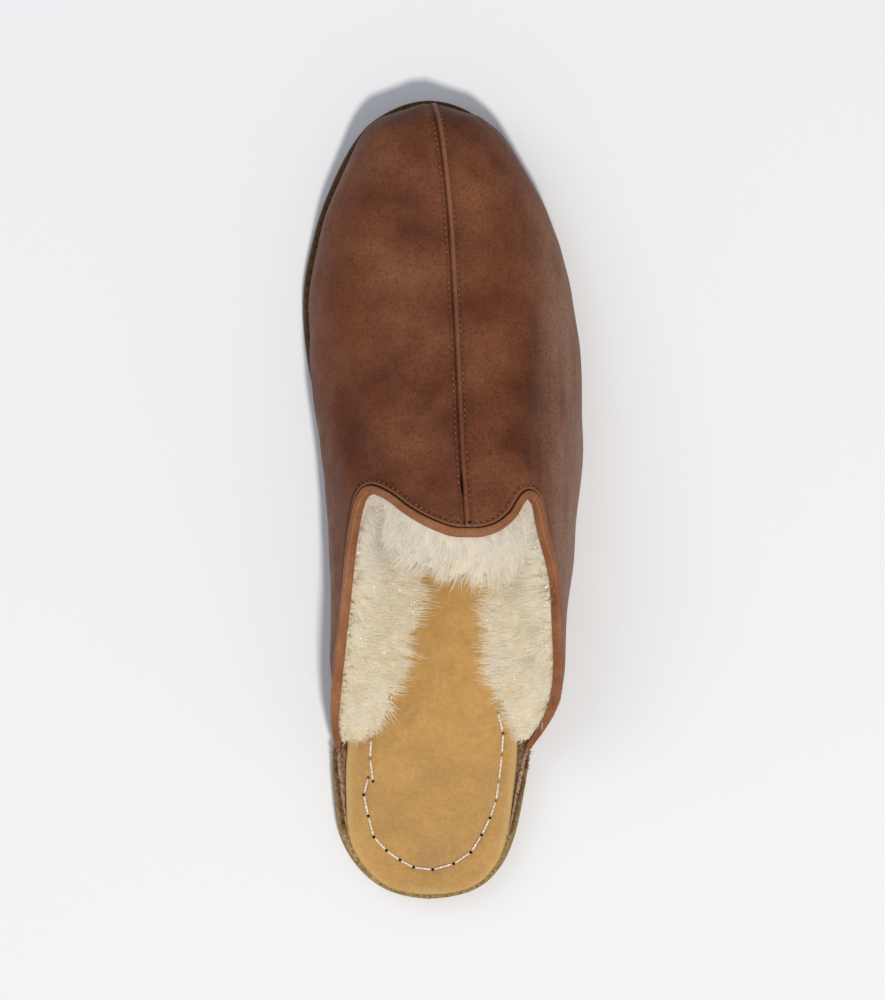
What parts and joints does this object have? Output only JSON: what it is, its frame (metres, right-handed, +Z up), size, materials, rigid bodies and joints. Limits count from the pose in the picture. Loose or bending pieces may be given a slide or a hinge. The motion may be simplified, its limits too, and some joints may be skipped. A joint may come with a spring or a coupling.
{
  "type": "babouche slipper",
  "caption": "Backless leather babouche slipper, right foot, with a raised centre seam, bound collar, shearling lining, tan insole and low leather sole, 300 mm long.",
  "frame": {"origin": "on the floor, in the middle of the slipper's length and width", "axes": "+X to the outer side of the right foot, +Y to the toe, +Z up"},
  "size_m": [0.105, 0.3, 0.0765],
  "materials": {
    "sole_leather": "raw cut edge, matt",
    "insole_leather": "smooth natural vegetable tan, satin",
    "upper_leather": "waxed pull-up, patina, satin",
    "binding_leather": "smooth thin strip, satin",
    "shearling": "deep cream wool, matt"
  },
  "bodies": {
    "root": {"outsole": "sole_leather", "insole": "insole_leather", "upper": "upper_leather", "collar_binding": "binding_leather", "shearling_lining": "shearling"}
  },
  "joints": []
}
